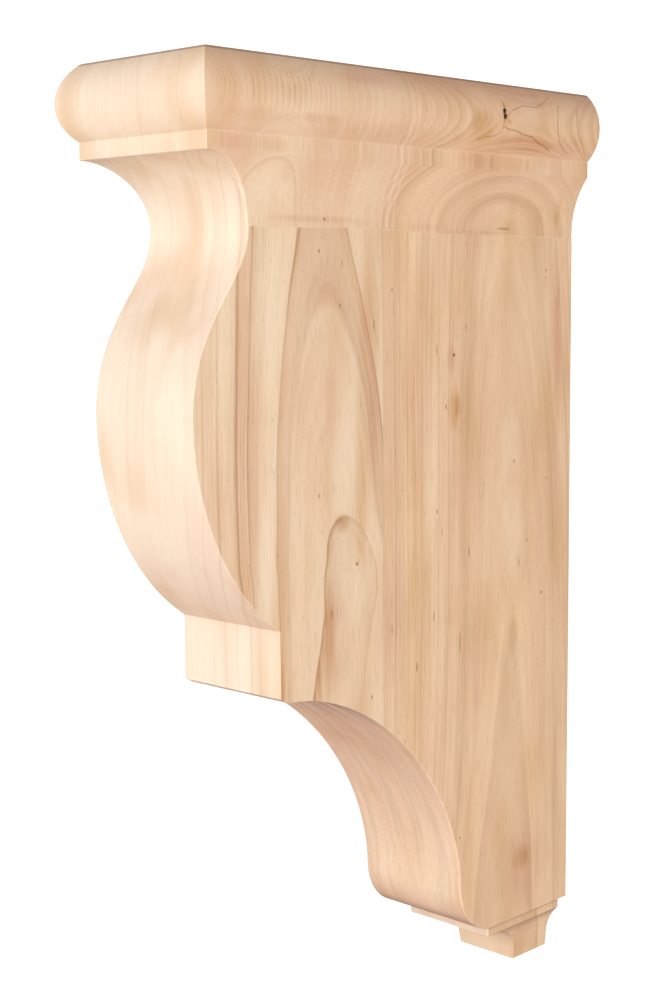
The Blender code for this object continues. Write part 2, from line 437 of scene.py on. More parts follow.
# The step where each side cove ends was scraped by hand, so it wanders and drops towards the wall
STEP_REACH = 3.0
STEP_DROP = 0.9
STEP_DROP_REACHES = (122.0, 88.0)
STEP_WANDER = 0.22
STEP_WAVES = (11.0, 4.3)
STEP_SAG = 0.8
STEP_SAG_REACHES = (140.0, 182.0)
step_level = HEIGHT / 2 - side_cove_end
on_cap = corbel_mesh.attributes.new("on_cap", "FLOAT", "POINT")
for index, vertex in enumerate(corbel_mesh.vertices):
    x, y, z = vertex.co / MM
    on_cap.data[index].value = 1.0 if z > step_level - 0.01 else 0.0
    near_step = max(0.0, 1 - abs(z - step_level) / STEP_REACH)
    if near_step > 0 and abs(x) > body_half - 1:
        fallen = (STEP_DROP_REACHES[0] + y) / (STEP_DROP_REACHES[0] - STEP_DROP_REACHES[1])
        sagging = (-y - STEP_SAG_REACHES[0]) / (STEP_SAG_REACHES[1] - STEP_SAG_REACHES[0])
        drop = STEP_DROP * min(1.0, max(0.0, fallen))
        drop += STEP_SAG * min(1.0, max(0.0, sagging))
        wander = STEP_WANDER * (math.sin(y / STEP_WAVES[0] + x) + 0.6 * math.sin(y / STEP_WAVES[1]))
        vertex.co.z += (wander - drop) * min(1.0, 1.6 * near_step) * MM

# The cutter tore small chips out of the near upright corner of the lower hollow
CHIP_DEPTHS = (258.0, 331.0)
CHIP_SIZE = 0.30
CHIP_SPREAD = 1.1
CHIP_WAVES = (2.3, 0.93)
for vertex in corbel_mesh.vertices:
    x, y, z = vertex.co / MM
    depth = HEIGHT / 2 - z
    if CHIP_DEPTHS[0] < depth < CHIP_DEPTHS[1] and x > body_half - CHIP_SPREAD:
        to_corner = math.hypot(body_half - x, value_at(front_body, depth) + y)
        if to_corner < CHIP_SPREAD:
            bite = max(0.0, math.sin(CHIP_WAVES[0] * z) + 0.9 * math.sin(CHIP_WAVES[1] * z + 2) - 0.5)
            bite *= CHIP_SIZE * (1 - to_corner / CHIP_SPREAD)
            vertex.co.x -= bite * MM
            vertex.co.y += bite * MM

# Knot hole: a bark pocket on the nose near the wall, open and dark, with a drying crack
# through it. It is cut into the mesh, and the same sizes tell the wood where to darken
KNOT_PLACE = (-60.2, 165.9)
KNOT_RADII = (1.0, 1.85)
KNOT_DEPTH = 1.7
KNOT_RAGGED = (0.16, 0.07)
CRACK = ((160.4, -60.9), (163, -60.6), (165.9, -60.2), (171.9, -60.1))
CRACK_HALF_WIDTH = 0.30
CRACK_DEPTH = 0.5
for vertex in corbel_mesh.vertices:
    x, y, z = vertex.co / MM
    if x < body_half + FILLET_PROUD:
        continue
    along, up = y - KNOT_PLACE[0], z - KNOT_PLACE[1]
    ragged = 1 + KNOT_RAGGED[0] * math.sin(3 * math.atan2(up, along) + 0.8)
    ragged += KNOT_RAGGED[1] * math.sin(7 * along + 5 * up)
    out = math.hypot(along / KNOT_RADII[0], up / KNOT_RADII[1]) / ragged
    bowl = max(0.0, 1 - out ** 2) ** 0.5
    cut = KNOT_DEPTH * min(1.0, 1.6 * bowl)
    if CRACK[0][0] < z < CRACK[-1][0]:
        stray = y - value_at(CRACK, z)
        cut = max(cut, CRACK_DEPTH * (1 - (stray / CRACK_HALF_WIDTH) ** 2))
    vertex.co.x -= cut * MM

corbel_mesh.name = "corbel_wood"
corbel_mesh.set_sharp_from_angle(angle=math.radians(32))
corbel = in_scene("corbel_wood", corbel_mesh)

# Corbel, its wood
# Rubberwood, sawn, machined and sanded bare: pale straw with pinkish growth lines, a few
# brown streaks and short dark pores. Bare sanded wood scatters light, so there is no gloss,
# only a faint dull sheen at grazing angles. The block is two boards, with strips on both sides
# for the cap. Each has its own pith, the centre line of its tree, and shows that pith's rings.


def linear(colour):
    """An sRGB hex colour as linear red, green, blue and alpha."""
    parts = [int(colour[i:i + 2], 16) / 255 for i in (1, 3, 5)]
    return tuple(p / 12.92 if p <= 0.04045 else ((p + 0.055) / 1.055) ** 2.4 for p in parts) + (1.0,)


STRAW = linear("#F4DDC0")
TAN = linear("#F5D4B1")
PALE = linear("#F9E4CD")
BLUSH = linear("#E8BFA0")
GOLD = linear("#D5A063")
HEARTWOOD = linear("#C88F5E")
GROWTH_LINE = linear("#B88860")
PORE = linear("#8A5C3A")
BARK = linear("#3A2012")
# Brown for the painted shade under the toe, on the plate and drop, and on the nose top, and also for the
# streaks on the hollow's front
SHADE_AND_STREAK_BROWN = linear("#7A5238")
END_GRAIN = linear("#CB9373")
VEIN = linear("#9A5C32")
RUDDY = linear("#D99F82")

wood.use_nodes = True
shade = wood.node_tree
shade.nodes.clear()
metres = add(shade, "ShaderNodeTexCoord").outputs["Object"]
place = add(shade, "ShaderNodeVectorMath", {0: metres, "Scale": 1 / MM}, operation="SCALE")
axes = add(shade, "ShaderNodeSeparateXYZ", {"Vector": place}).outputs

# Grain never runs quite straight: the whole figure sways by a millimetre or two
SWAY = 1.2
SWAY_WIDTH = 34.0
SWAY_LENGTH = 150.0
SWAY_SCALE = (1 / SWAY_WIDTH, 1 / SWAY_WIDTH, 1 / SWAY_LENGTH)
slow = add(shade, "ShaderNodeMapping", {"Vector": place, "Scale": SWAY_SCALE})
sway = add(shade, "ShaderNodeTexNoise", {"Vector": slow, "Scale": 1.0, "Detail": 2.0, "Roughness": 0.5})
sway = add(
    shade, "ShaderNodeVectorMath", {0: sway.outputs["Color"], 1: (0.5, 0.5, 0.5)}, operation="SUBTRACT"
)
sway = add(shade, "ShaderNodeVectorMath", {0: sway, "Scale": SWAY}, operation="SCALE")
swayed = add(shade, "ShaderNodeVectorMath", {0: place, 1: sway}, operation="ADD")
swayed = add(shade, "ShaderNodeVectorMath", {0: swayed, 1: (1, 1, 0)}, operation="MULTIPLY")


def curve_along(measure, points, low=0, high=1, straight=False):
    """A curve through (measure, value) points, as a share from low to high, level past its ends."""
    start, end = points[0][0], points[-1][0]
    share = add(shade, "ShaderNodeMapRange", {"Value": measure, "From Min": start, "From Max": end})
    curve = add(shade, "ShaderNodeFloatCurve", {"Value": share})
    line = curve.mapping.curves[0]
    stations = [((at - start) / (end - start), (value - low) / (high - low)) for at, value in points]
    line.points[0].location = stations[0]
    line.points[1].location = stations[-1]
    for station in stations[1:-1]:
        line.points.new(*station)
    if straight:
        for point in line.points:
            point.handle_type = "VECTOR"
    curve.mapping.update()
    return curve


def path_along(measure, points):
    """A smooth path through (measure, value) points."""
    low = min(value for _, value in points) - 1
    high = max(value for _, value in points) + 1
    curve = curve_along(measure, points, low, high)
    return add(shade, "ShaderNodeMapRange", {"Value": curve, "To Min": low, "To Max": high})


def ring_radius(pith_x, pith_y):
    """Distance from a pith that runs through these (height, place) points."""
    pith = {"X": path_along(axes["Z"], pith_x), "Y": path_along(axes["Z"], pith_y)}
    centre = add(shade, "ShaderNodeCombineXYZ", pith)
    return add(shade, "ShaderNodeVectorMath", {0: swayed, 1: centre}, operation="DISTANCE").outputs["Value"]


def ring_tones(radius, stops):
    """Darkness of the growth rings, straight between (radius, darkness) stops."""
    return curve_along(radius, stops, straight=True)


# The front board, from the scroll back to the glue line. Its pith lay outside the block
FRONT_PITH_X = (
    (-178, 66), (-45, 66), (-4, 65.7), (7, 66.4), (22, 68), (44, 69), (60, 70), (98, 73.4), (125, 75.4),
    (178, 77),
)
FRONT_PITH_Y = (
    (-178, -135.5), (-40, -135.3), (-4, -135.6), (8, -137.6), (30, -140), (47, -140.7), (65, -141.3),
    (82, -142.3), (100, -143.5), (178, -147),
)
FRONT_INNER_RINGS = (
    (43.2, 0.05), (45.5, 0.05), (48.1, 0.06), (48.6, 0.34), (50.2, 0.22), (51.3, 0.32), (51.6, 1),
    (51.8, 0.02), (52.6, 0), (55.6, 0.02), (57.4, 0.16), (59.6, 0.36), (60.05, 0.92), (60.3, 0.26),
    (62.6, 0.26), (63.25, 0.36), (63.5, 1), (63.85, 0.6), (64.6, 0.2), (66, 0.08), (69.4, 0.06),
    (69.9, 0.62), (70.2, 0.2), (70.6, 0.1),
)
FRONT_OUTER_RINGS = (
    (70.6, 0.1), (74.8, 0.1), (75.3, 0.42), (75.9, 0.12), (79, 0.06), (80.8, 0.22), (81.6, 0.06),
    (87, 0.03), (94.4, 0.05), (95, 0.26), (95.8, 0.04), (100.8, 0.03), (101.5, 0.22), (102.2, 0.02),
    (107.4, 0.03), (108, 0.16), (109, 0.02), (116, 0.18), (117, 0.04), (125, 0.06),
)
# The brown flame on the near face is a bulge of the inner rings, so it has a pith line of its own
FLAME_PITH_X = (
    (-178, 66.5), (-60, 66.2), (-39, 66.25), (-18, 66.3), (-3, 65.98), (7, 66.6), (13.7, 67.18),
    (20, 68), (26, 69), (60, 74), (178, 80),
)
FLAME_PITH_Y = (
    (-178, -140), (-60, -139.5), (-39, -136.9), (-18, -132.8), (-3, -130.7), (13.7, -132.9),
    (22, -134.5), (60, -140), (178, -147),
)
FLAME_RINGS = ((38, 0.16), (40.8, 0.12), (42.3, 0.2), (42.85, 0.36), (43.15, 0.9), (43.3, 0.05), (45, 0.05))
FLAME_RADIUS = 43.15
# The pink band between the two strong lines on the near face
FRONT_BLUSH = (
    (48, 0), (50, 0.45), (51.4, 0.6), (51.8, 0), (58.6, 0), (60.2, 0.45), (62.8, 0.8), (63.6, 0.2),
    (67, 0), (73, 0.3), (75.2, 0.5), (75.6, 0.05), (80, 0),
)
OUTER_FROM = FRONT_OUTER_RINGS[0][0]
# The back board, from the glue line to the wall. Its pith lay beyond the far side
BACK_PITH_X = (
    (-178, -29), (-134, -30.1), (-95, -31.8), (-66, -32.55), (-32, -33), (40, -34), (125, -37),
    (178, -38),
)
BACK_PITH_Y = ((-178, -44), (-130, -42), (-60, -39.2), (0, -39), (125, -43), (178, -43))
BACK_RINGS = (
    (50, 0.3), (56.6, 0.38), (57.8, 0.56), (58.05, 0.03), (60.6, 0.06), (61.5, 0.18), (62, 0.08),
    (63.2, 0.14), (64.8, 0.46), (65.1, 0.3), (66.4, 0.28), (67, 0.12), (69.5, 0.16), (69.75, 0.6),
    (70, 0.12), (73.1, 0.14), (73.4, 0.4), (73.7, 0), (75, 0.02), (76.4, 0.14), (79.6, 0.3), (80, 0.12),
    (82.4, 0.02), (83.6, 0), (84.8, 0.26), (85.4, 0.1), (88, 0.24), (89.8, 0.46), (90.2, 0.2),
    (96, 0.3),
)
front_radius = ring_radius(FRONT_PITH_X, FRONT_PITH_Y)
back_radius = ring_radius(BACK_PITH_X, BACK_PITH_Y)
flame_radius = ring_radius(FLAME_PITH_X, FLAME_PITH_Y)
flame = ring_tones(flame_radius, FLAME_RINGS)
flame_side = add(
    shade,
    "ShaderNodeMapRange",
    {"Value": axes["Y"], "From Min": -137, "From Max": -127, "To Min": 1, "To Max": 0.35},
)
flame = add(shade, "ShaderNodeMath", {0: flame, 1: flame_side}, operation="MULTIPLY")
beyond_flame = add(
    shade, "ShaderNodeMath", {0: flame_radius, 1: FLAME_RINGS[-1][0]}, operation="GREATER_THAN"
)
inner = ring_tones(front_radius, FRONT_INNER_RINGS)
inner = add(shade, "ShaderNodeMix", {"Factor": beyond_flame, "A": flame, "B": inner}, data_type="FLOAT")
outer = ring_tones(front_radius, FRONT_OUTER_RINGS)
is_outer = add(shade, "ShaderNodeMath", {0: front_radius, 1: OUTER_FROM}, operation="GREATER_THAN")
front_tone = add(shade, "ShaderNodeMix", {"Factor": is_outer, "A": inner, "B": outer}, data_type="FLOAT")
back_tone = ring_tones(back_radius, BACK_RINGS)
back_tone = add(shade, "ShaderNodeMath", {0: back_tone, 1: 0.8}, operation="MULTIPLY")

GLUE_LINE = -114.0
is_back = add(shade, "ShaderNodeMath", {0: axes["Y"], 1: GLUE_LINE}, operation="GREATER_THAN")

# The cap's side mouldings are strips glued on beyond the body's two faces, down to the step.
# Each board's strip has a pith of its own: a near one gives the steep arch in the front half
# of the cove, and a far one the flat arches and the crescents on the nose in the back half
FRONT_STRIP_PITH = (12.6, -172.0, 0.0)
FRONT_STRIP_RINGS = (
    (10, 0.06), (18.2, 0.08), (19.2, 0.42), (19.6, 0.06), (21, 0.16), (23, 0.1), (24.2, 0.22),
    (24.7, 0.08), (26.6, 0.16), (27, 0.06), (30, 0.12), (34, 0.08), (60, 0.08),
)
BACK_STRIP_PITH = (-86.0, -45.5, 0.0)
BACK_STRIP_RINGS = (
    (110.5, 0.08), (112.5, 0.12), (113.2, 0.42), (114, 0.36), (114.3, 0.06), (115.2, 0.1),
    (116.6, 0.26), (117.5, 0.36), (117.8, 0.04), (118.7, 0.04), (119.4, 0.26), (119.9, 0.06),
    (121.4, 0.3), (121.8, 0.06), (123, 0.1), (125.6, 0.06), (126.6, 0.4), (127, 0.1), (128.4, 0.44),
    (128.8, 0.08), (130.4, 0.4), (130.8, 0.08), (132.6, 0.32), (133, 0.06), (135, 0.28), (135.4, 0.06),
    (137.6, 0.22), (138, 0.05), (141, 0.14), (150, 0.1),
)
normal = add(shade, "ShaderNodeNewGeometry").outputs["Normal"]
facing = add(shade, "ShaderNodeSeparateXYZ", {"Vector": normal}).outputs
sideways = add(shade, "ShaderNodeMath", {0: axes["X"]}, operation="ABSOLUTE")
side_facing = add(shade, "ShaderNodeMath", {0: facing["X"]}, operation="ABSOLUTE")
side_facing = add(shade, "ShaderNodeMath", {0: side_facing, 1: 0.6}, operation="GREATER_THAN")
cap_share = add(shade, "ShaderNodeAttribute", attribute_name="on_cap").outputs["Fac"]
is_cap = add(shade, "ShaderNodeMath", {0: cap_share, 1: 0.5}, operation="GREATER_THAN")
outside = add(shade, "ShaderNodeMath", {0: sideways, 1: body_half + 0.04}, operation="GREATER_THAN")
is_strip = add(shade, "ShaderNodeMath", {0: outside, 1: side_facing}, operation="MAXIMUM")
is_strip = add(shade, "ShaderNodeMath", {0: is_strip, 1: is_cap}, operation="MULTIPLY")
from_middle = add(shade, "ShaderNodeCombineXYZ", {"X": sideways, "Y": axes["Y"]})
strip_sway = add(shade, "ShaderNodeVectorMath", {0: sway, 1: (1, 1, 0)}, operation="MULTIPLY")
from_middle = add(shade, "ShaderNodeVectorMath", {0: from_middle, 1: strip_sway}, operation="ADD")
front_strip, back_strip = [
    add(shade, "ShaderNodeVectorMath", {0: from_middle, 1: pith}, operation="DISTANCE").outputs["Value"]
    for pith in (FRONT_STRIP_PITH, BACK_STRIP_PITH)
]
board_tone, strip_tone, board_radius, strip_radius = [
    add(shade, "ShaderNodeMix", {"Factor": is_back, "A": front, "B": back}, data_type="FLOAT")
    for front, back in (
        (front_tone, back_tone),
        (ring_tones(front_strip, FRONT_STRIP_RINGS), ring_tones(back_strip, BACK_STRIP_RINGS)),
        (front_radius, back_radius),
        (front_strip, back_strip),
    )
]
tone, radius = [
    add(shade, "ShaderNodeMix", {"Factor": is_strip, "A": board, "B": strip}, data_type="FLOAT")
    for board, strip in ((board_tone, strip_tone), (board_radius, strip_radius))
]
strip_fading = add(shade, "ShaderNodeMapRange", {"Value": is_strip, "To Min": 1.0, "To Max": 0.8})
tone = add(shade, "ShaderNodeMath", {0: tone, 1: strip_fading}, operation="MULTIPLY")

# Rings fade in and out along the board, and hair lines follow them. Real hair lines are finer
# than the picture shows, so these are drawn coarser
FADE_WIDTH = 7
FADE_LENGTH = 75
FINE_RING = 0.75
FINE_LENGTH = 60
fade_place, fine_place = [
    add(
        shade,
        "ShaderNodeCombineXYZ",
        {
            name: add(shade, "ShaderNodeMath", {0: value, 1: 1 / size}, operation="MULTIPLY")
            for name, value, size in (
                ("X", radius, width), ("Y", axes["Y"], length), ("Z", axes["Z"], length)
            )
        },
    )
    for width, length in ((FADE_WIDTH, FADE_LENGTH), (FINE_RING, FINE_LENGTH))
]
fade = add(shade, "ShaderNodeTexNoise", {"Vector": fade_place, "Scale": 1.0, "Detail": 1.0})
fade = add(
    shade,
    "ShaderNodeMapRange",
    {"Value": fade, "From Min": 0.32, "From Max": 0.66, "To Min": 0.55, "To Max": 1.2},
)
fine = add(
    shade, "ShaderNodeTexNoise", {"Vector": fine_place, "Scale": 1.0, "Detail": 3.0, "Roughness": 0.6}
)

# The rings are fainter on the front, and faintest in the hollow
front_facing = add(
    shade, "ShaderNodeMapRange", {"Value": facing["Y"], "From Min": -0.15, "From Max": -0.55}
)
hollow_middle = HEIGHT / 2 - (block_nose_end + body_end) / 2
hollow_half = (body_end - block_nose_end) / 2
in_hollow = add(
    shade, "ShaderNodeMath", {0: axes["Z"], 1: hollow_middle, 2: hollow_half}, operation="COMPARE"
)
planed_front = add(
    shade, "ShaderNodeMath", {0: front_facing, 1: in_hollow}, operation="SUBTRACT", use_clamp=True
)
hollow_front = add(shade, "ShaderNodeMath", {0: in_hollow, 1: front_facing}, operation="MULTIPLY")
ring_dark = add(shade, "ShaderNodeMath", {0: tone, 1: fade}, operation="MULTIPLY")
for where, kept in ((front_facing, 0.55), (hollow_front, 0.4)):
    ring_keep = add(shade, "ShaderNodeMapRange", {"Value": where, "To Min": 1.0, "To Max": kept})
    ring_dark = add(shade, "ShaderNodeMath", {0: ring_dark, 1: ring_keep}, operation="MULTIPLY")

# Cells are stretched upright. Like the hair lines, they are drawn coarser than real ones
CELL_WIDTH = 0.5
CELL_LENGTH = 9.0
CELL_SCALE = (1 / CELL_WIDTH, 1 / CELL_WIDTH, 1 / CELL_LENGTH)
cell_place = add(shade, "ShaderNodeMapping", {"Vector": place, "Scale": CELL_SCALE})
cells = add(
    shade, "ShaderNodeTexNoise", {"Vector": cell_place, "Scale": 1.0, "Detail": 2.0, "Roughness": 0.55}
)
fine_dark, fine_light, streaks, cell_dark, patchy, sheen_break = [
    add(
        shade,
        "ShaderNodeMapRange",
        {"Value": noise, "From Min": low, "From Max": high, "To Min": least, "To Max": most},
    )
    for noise, low, high, least, most in (
        (fine, 0.5, 0.78, 0, 0.26),
        (fine, 0.48, 0.28, 0, 0.26),
        (fine, 0.35, 0.65, 0.55, 1.35),
        (cells, 0.52, 0.8, 0, 0.24),
        (cells, 0.35, 0.6, 0.6, 1),
        (cells, 0.3, 0.7, 0.54, 0.7),
    )
]
# Near the pith the rings lie flat in the face and the hair lines are drawn out, so they fade
CALM_FROM = 46
CALM_TO = 60
BACK_CALM_FURTHER = 11
calm_by = add(shade, "ShaderNodeMath", {0: is_back, 1: BACK_CALM_FURTHER}, operation="MULTIPLY")
calm_radius = add(shade, "ShaderNodeMath", {0: board_radius, 1: calm_by}, operation="SUBTRACT")
quiet = add(
    shade,
    "ShaderNodeMapRange",
    {"Value": calm_radius, "From Min": CALM_FROM, "From Max": CALM_TO, "To Min": 0.35, "To Max": 1.0},
)
near_end = add(shade, "ShaderNodeMapRange", {"Value": is_back, "To Min": 0.22, "To Max": 0.9})
quiet = add(shade, "ShaderNodeMix", {"Factor": is_strip, "A": quiet, "B": near_end}, data_type="FLOAT")

# Pores: short dark dashes where a vessel is cut open, dots where it is cut across. Real ones are
# about 0.2 mm wide, finer than the picture shows, so they are drawn about twice as wide
PORE_GAP = 1.9
PORE_LENGTH = 9.0
PORE_SIZE = 0.12
PORE_SCALE = (1 / PORE_GAP, 1 / PORE_GAP, 1 / PORE_LENGTH)
pore_place = add(shade, "ShaderNodeMapping", {"Vector": place, "Scale": PORE_SCALE})
vessels = add(shade, "ShaderNodeTexVoronoi", {"Vector": pore_place, "Scale": 1.0})
pores = add(
    shade,
    "ShaderNodeMapRange",
    {"Value": vessels, "From Min": PORE_SIZE, "From Max": PORE_SIZE * 0.5, "To Max": 0.3},
)

# Broad drifts of blush and gold, with their sizes across and along the grain. The planed front
# has less blush, and least of it low down
CLOUD_SIZE = (26, 26, 75)
DRIFT_SIZE = (14, 14, 60)
DRIFT_SHIFT = (3.1, 7.3, 1.7)
cloud_place = add(shade, "ShaderNodeMapping", {"Vector": place, "Scale": [1 / size for size in CLOUD_SIZE]})
cloud = add(
    shade, "ShaderNodeTexNoise", {"Vector": cloud_place, "Scale": 1.0, "Detail": 2.0, "Roughness": 0.5}
)
blush = add(
    shade, "ShaderNodeMapRange", {"Value": cloud, "From Min": 0.38, "From Max": 0.66, "To Max": 0.5}
)
bands = ring_tones(front_radius, FRONT_BLUSH)
on_back_or_cap = add(shade, "ShaderNodeMath", {0: is_back, 1: is_strip}, operation="MAXIMUM")
bands = add(shade, "ShaderNodeMix", {"Factor": on_back_or_cap, "A": bands, "B": 0.0}, data_type="FLOAT")
blush = add(shade, "ShaderNodeMath", {0: blush, 1: bands}, operation="MAXIMUM")
front_clear = add(
    shade,
    "ShaderNodeMapRange",
    {"Value": axes["Z"], "From Min": -60, "From Max": 100, "To Min": 0.2, "To Max": 0.75},
)
front_blush = add(
    shade, "ShaderNodeMix", {"Factor": planed_front, "A": 1.0, "B": front_clear}, data_type="FLOAT"
)
drift_place = add(
    shade,
    "ShaderNodeMapping",
    {"Vector": place, "Location": DRIFT_SHIFT, "Scale": [1 / size for size in DRIFT_SIZE]},
)
drift = add(shade, "ShaderNodeTexNoise", {"Vector": drift_place, "Scale": 1.0, "Detail": 1.0})
gold = add(
    shade, "ShaderNodeMapRange", {"Value": drift, "From Min": 0.46, "From Max": 0.75, "To Max": 0.36}
)

# What the near face shows at one place only, as (y, z, half width, half height, strength).
# Stains are brown patches round knots, amber and ruddy ones are golden and pink, lights are
# clear patches, and specks are pin knots, bark flecks and the longest pores
# The long low stain at y -185, z 157 and the ruddy patch at y -28, z 154.5 are painted shade where the foot
# of the nose turns under
STAINS = (
    (-71.8, 57.5, 2.4, 7, 0.55), (-31, -129, 6.5, 8.5, 0.55), (-37.5, -36, 4.5, 11, 0.35),
    (-60.2, 165.5, 2.6, 4.6, 0.45), (-46, 155.5, 24, 4.2, 0.6), (-136, 19, 6, 4, 0.55),
    (-120.5, 80, 8.5, 50, 0.34), (-70.5, -90, 3.5, 18, 0.3), (-185, 157, 20, 4, 0.2),
    (-148, 125.4, 28, 1.9, 0.3), (-120, 155, 80, 4, 0.18), (-157, 157.5, 17, 2.6, 0.3),
    (-166, -42, 1.3, 26, 0.55), (-61.6, 148.4, 1.3, 4, 0.3), (-39.6, 148.2, 1.3, 4, 0.3),
    (-9, 98, 1.2, 8, 0.4), (-184, -14, 9, 12, 0.25), (-110, -28, 1.6, 30, 0.28), (-16, 157, 12, 6, 0.3),
)
AMBER = (
    (-72.5, 160, 10, 8.5, 0.7), (-199.5, 163, 9.5, 18, 0.34), (-170, 168, 30, 9, 0.22),
    (-94, 148.4, 17, 4.6, 0.12), (-50.5, 148.4, 12, 5, 0.34), (-175.5, 148.6, 10, 4.4, 0.34),
    (-73.8, 56.5, 5.2, 10.5, 0.62), (-40, 159, 26, 7, 0.35), (-126, 30, 4.5, 60, 0.34),
    (-157, 50, 3, 40, 0.18), (-57.5, 163, 1.2, 1.6, 0.75), (-11, 131, 3, 8, 0.5),
    (-98, -60, 3.5, 30, 0.24), (-42, -60, 5, 30, 0.22), (-146, 168, 6, 9, 0.2),
)
RUDDY_PATCHES = (
    (-193, 148.4, 10, 4.6, 0.36), (-71, 148.4, 8, 4.6, 0.36), (-9, 80, 3.2, 60, 0.42),
    (-91, 124, 16, 1.6, 0.22), (-60, 122.5, 28, 1.4, 0.36), (-135, 172.5, 22, 3, 0.34),
    (-146, 101, 12, 12, 0.34), (-75.5, 75.5, 3.4, 8, 0.5), (-163, -50, 1.6, 24, 0.45),
    (-120, 50, 4, 36, 0.3), (-57, 60, 5, 60, 0.2), (-60, -40, 5, 46, 0.2), (-141, 60, 4, 30, 0.22),
    (-96, 60, 6, 50, 0.2), (-165, 139.5, 4, 4.5, 0.2), (-138, -24, 9, 28, 0.3),
    (-30, -132, 18, 26, 0.36), (-20, -40, 14, 60, 0.16), (-28, 154.5, 24, 4.5, 0.35),
)
LIGHTS = (
    (-38.5, 42, 8, 20, 0.34), (-38, 5, 9, 26, 0.3), (-149, 166, 8, 9, 0.2), (-44, 165.5, 12, 8, 0.24),
    (-134, 45, 9, 34, 0.28), (-127, -6, 6, 14, 0.4), (-157, 20, 4, 70, 0.3), (-54.5, 105, 12, 18, 0.12),
    (-39.5, 143, 12, 4, 0.2), (-170, 60, 5, 50, 0.4), (-173, 10, 5, 40, 0.4), (-86, 20, 5, 60, 0.22),
    (-29, 146, 8, 3.2, 0.3), (-171, 134, 10, 9, 0.3),
)
SPECKS = (
    (-74.1, 76.8, 0.8, 0.9, 0.85), (-146.4, 114.5, 0.4, 1, 0.8), (-134.9, 110.5, 0.4, 1.6, 0.5),
    (-136.1, 95.7, 0.4, 1.1, 0.7), (-118.6, 88.8, 0.4, 2.4, 0.5), (-108.9, 101.1, 0.4, 1.4, 0.5),
    (-67.1, 87.1, 0.4, 1.6, 0.6), (-84, 78.9, 0.4, 2.6, 0.5), (-17.2, 108.8, 0.6, 0.8, 0.5),
    (-17.2, 106, 0.5, 0.6, 0.4), (-78.7, 57.4, 0.5, 1.3, 0.6), (-37.2, 34, 0.4, 1.2, 0.8),
    (-16.2, 25.5, 0.5, 0.6, 0.5), (-83.9, 18.2, 0.45, 1.1, 0.6), (-81, 9.9, 0.4, 1.6, 0.5),
    (-65, 0.8, 0.35, 2.6, 0.6), (-147.3, 29.8, 0.35, 1.3, 0.5), (-128.1, 3.6, 0.8, 0.9, 0.65),
    (-85.7, -21.7, 0.35, 3, 0.5), (-109.4, -23.2, 0.35, 2.4, 0.6), (-95.5, -39.4, 0.35, 3, 0.7),
    (-141.2, -13, 0.45, 2.4, 0.5), (-70.3, -34, 0.35, 6, 0.6), (-18.9, -20.8, 0.6, 0.7, 0.8),
    (-28.5, 1.6, 0.45, 0.6, 0.6), (-33.6, -6.8, 0.35, 2.4, 0.6), (-120.5, -46.5, 0.5, 1, 0.7),
    (-70.1, -111.7, 0.5, 0.6, 0.7), (-143.5, 125.4, 0.6, 0.7, 0.7), (-44.5, 124.4, 4.2, 0.9, 0.4),
)
near_side = add(shade, "ShaderNodeMath", {0: axes["X"], 1: body_half - 4}, operation="GREATER_THAN")
# Each patch is read from the nearest of a few stretched copies of the place, tall or wide
STRETCHES = (0.06, 0.15, 0.4, 1.0, 2.5, 6.0, 15.0)
stretched = [
    add(shade, "ShaderNodeVectorMath", {0: place, 1: (0, 1, 1 / stretch)}, operation="MULTIPLY")
    for stretch in STRETCHES
]
patches = []
for marks, core in ((STAINS, 0.25), (AMBER, 0.25), (RUDDY_PATCHES, 0.25), (LIGHTS, 0.25), (SPECKS, 0.6)):
    total = 0.0
    for y, z, half_width, half_height, depth in marks:
        tallness = half_height / half_width
        nearest = min(range(len(STRETCHES)), key=lambda i: abs(math.log(tallness / STRETCHES[i])))
        size = math.sqrt(half_width * half_height / STRETCHES[nearest])
        centre = (0, y, z / STRETCHES[nearest])
        away = add(shade, "ShaderNodeVectorMath", {0: stretched[nearest], 1: centre}, operation="DISTANCE")
        mark = add(
            shade,
            "ShaderNodeMapRange",
            {"Value": away.outputs["Value"], "From Min": size, "From Max": size * core, "To Max": depth},
            interpolation_type="SMOOTHSTEP",
        )
        total = add(shade, "ShaderNodeMath", {0: total, 1: mark}, operation="MAXIMUM")
    patches.append(add(shade, "ShaderNodeMath", {0: total, 1: near_side}, operation="MULTIPLY"))
stains, amber, ruddy, lights, specks = patches
stains, amber, ruddy = [
    add(shade, "ShaderNodeMath", {0: patch, 1: streaks}, operation="MULTIPLY")
    for patch in (stains, amber, ruddy)
]

# The flame is filled with brown along its front line only, down from its tip, and fades inward.
# The line leans, so its place along y is worked out from the height
FLAME_LEAN = 0.174
FLAME_LINE = -143.8
FLAME_STRENGTH = 0.78
in_flame = add(shade, "ShaderNodeMath", {0: flame_radius, 1: FLAME_RADIUS}, operation="LESS_THAN")
front_line = add(
    shade, "ShaderNodeMath", {0: axes["Z"], 1: FLAME_LEAN, 2: FLAME_LINE}, operation="MULTIPLY_ADD"
)
from_line = add(shade, "ShaderNodeMath", {0: axes["Y"], 1: front_line}, operation="SUBTRACT")
wedge = add(shade, "ShaderNodeMapRange", {"Value": from_line, "From Min": 9.5, "From Max": 1.5})
below_tip = add(shade, "ShaderNodeMapRange", {"Value": axes["Z"], "From Min": 4.0, "From Max": -14.0})
for mask in (below_tip, in_flame, streaks, near_side, FLAME_STRENGTH):
    wedge = add(shade, "ShaderNodeMath", {0: wedge, 1: mask}, operation="MULTIPLY")
stains = add(shade, "ShaderNodeMath", {0: stains, 1: wedge}, operation="MAXIMUM")

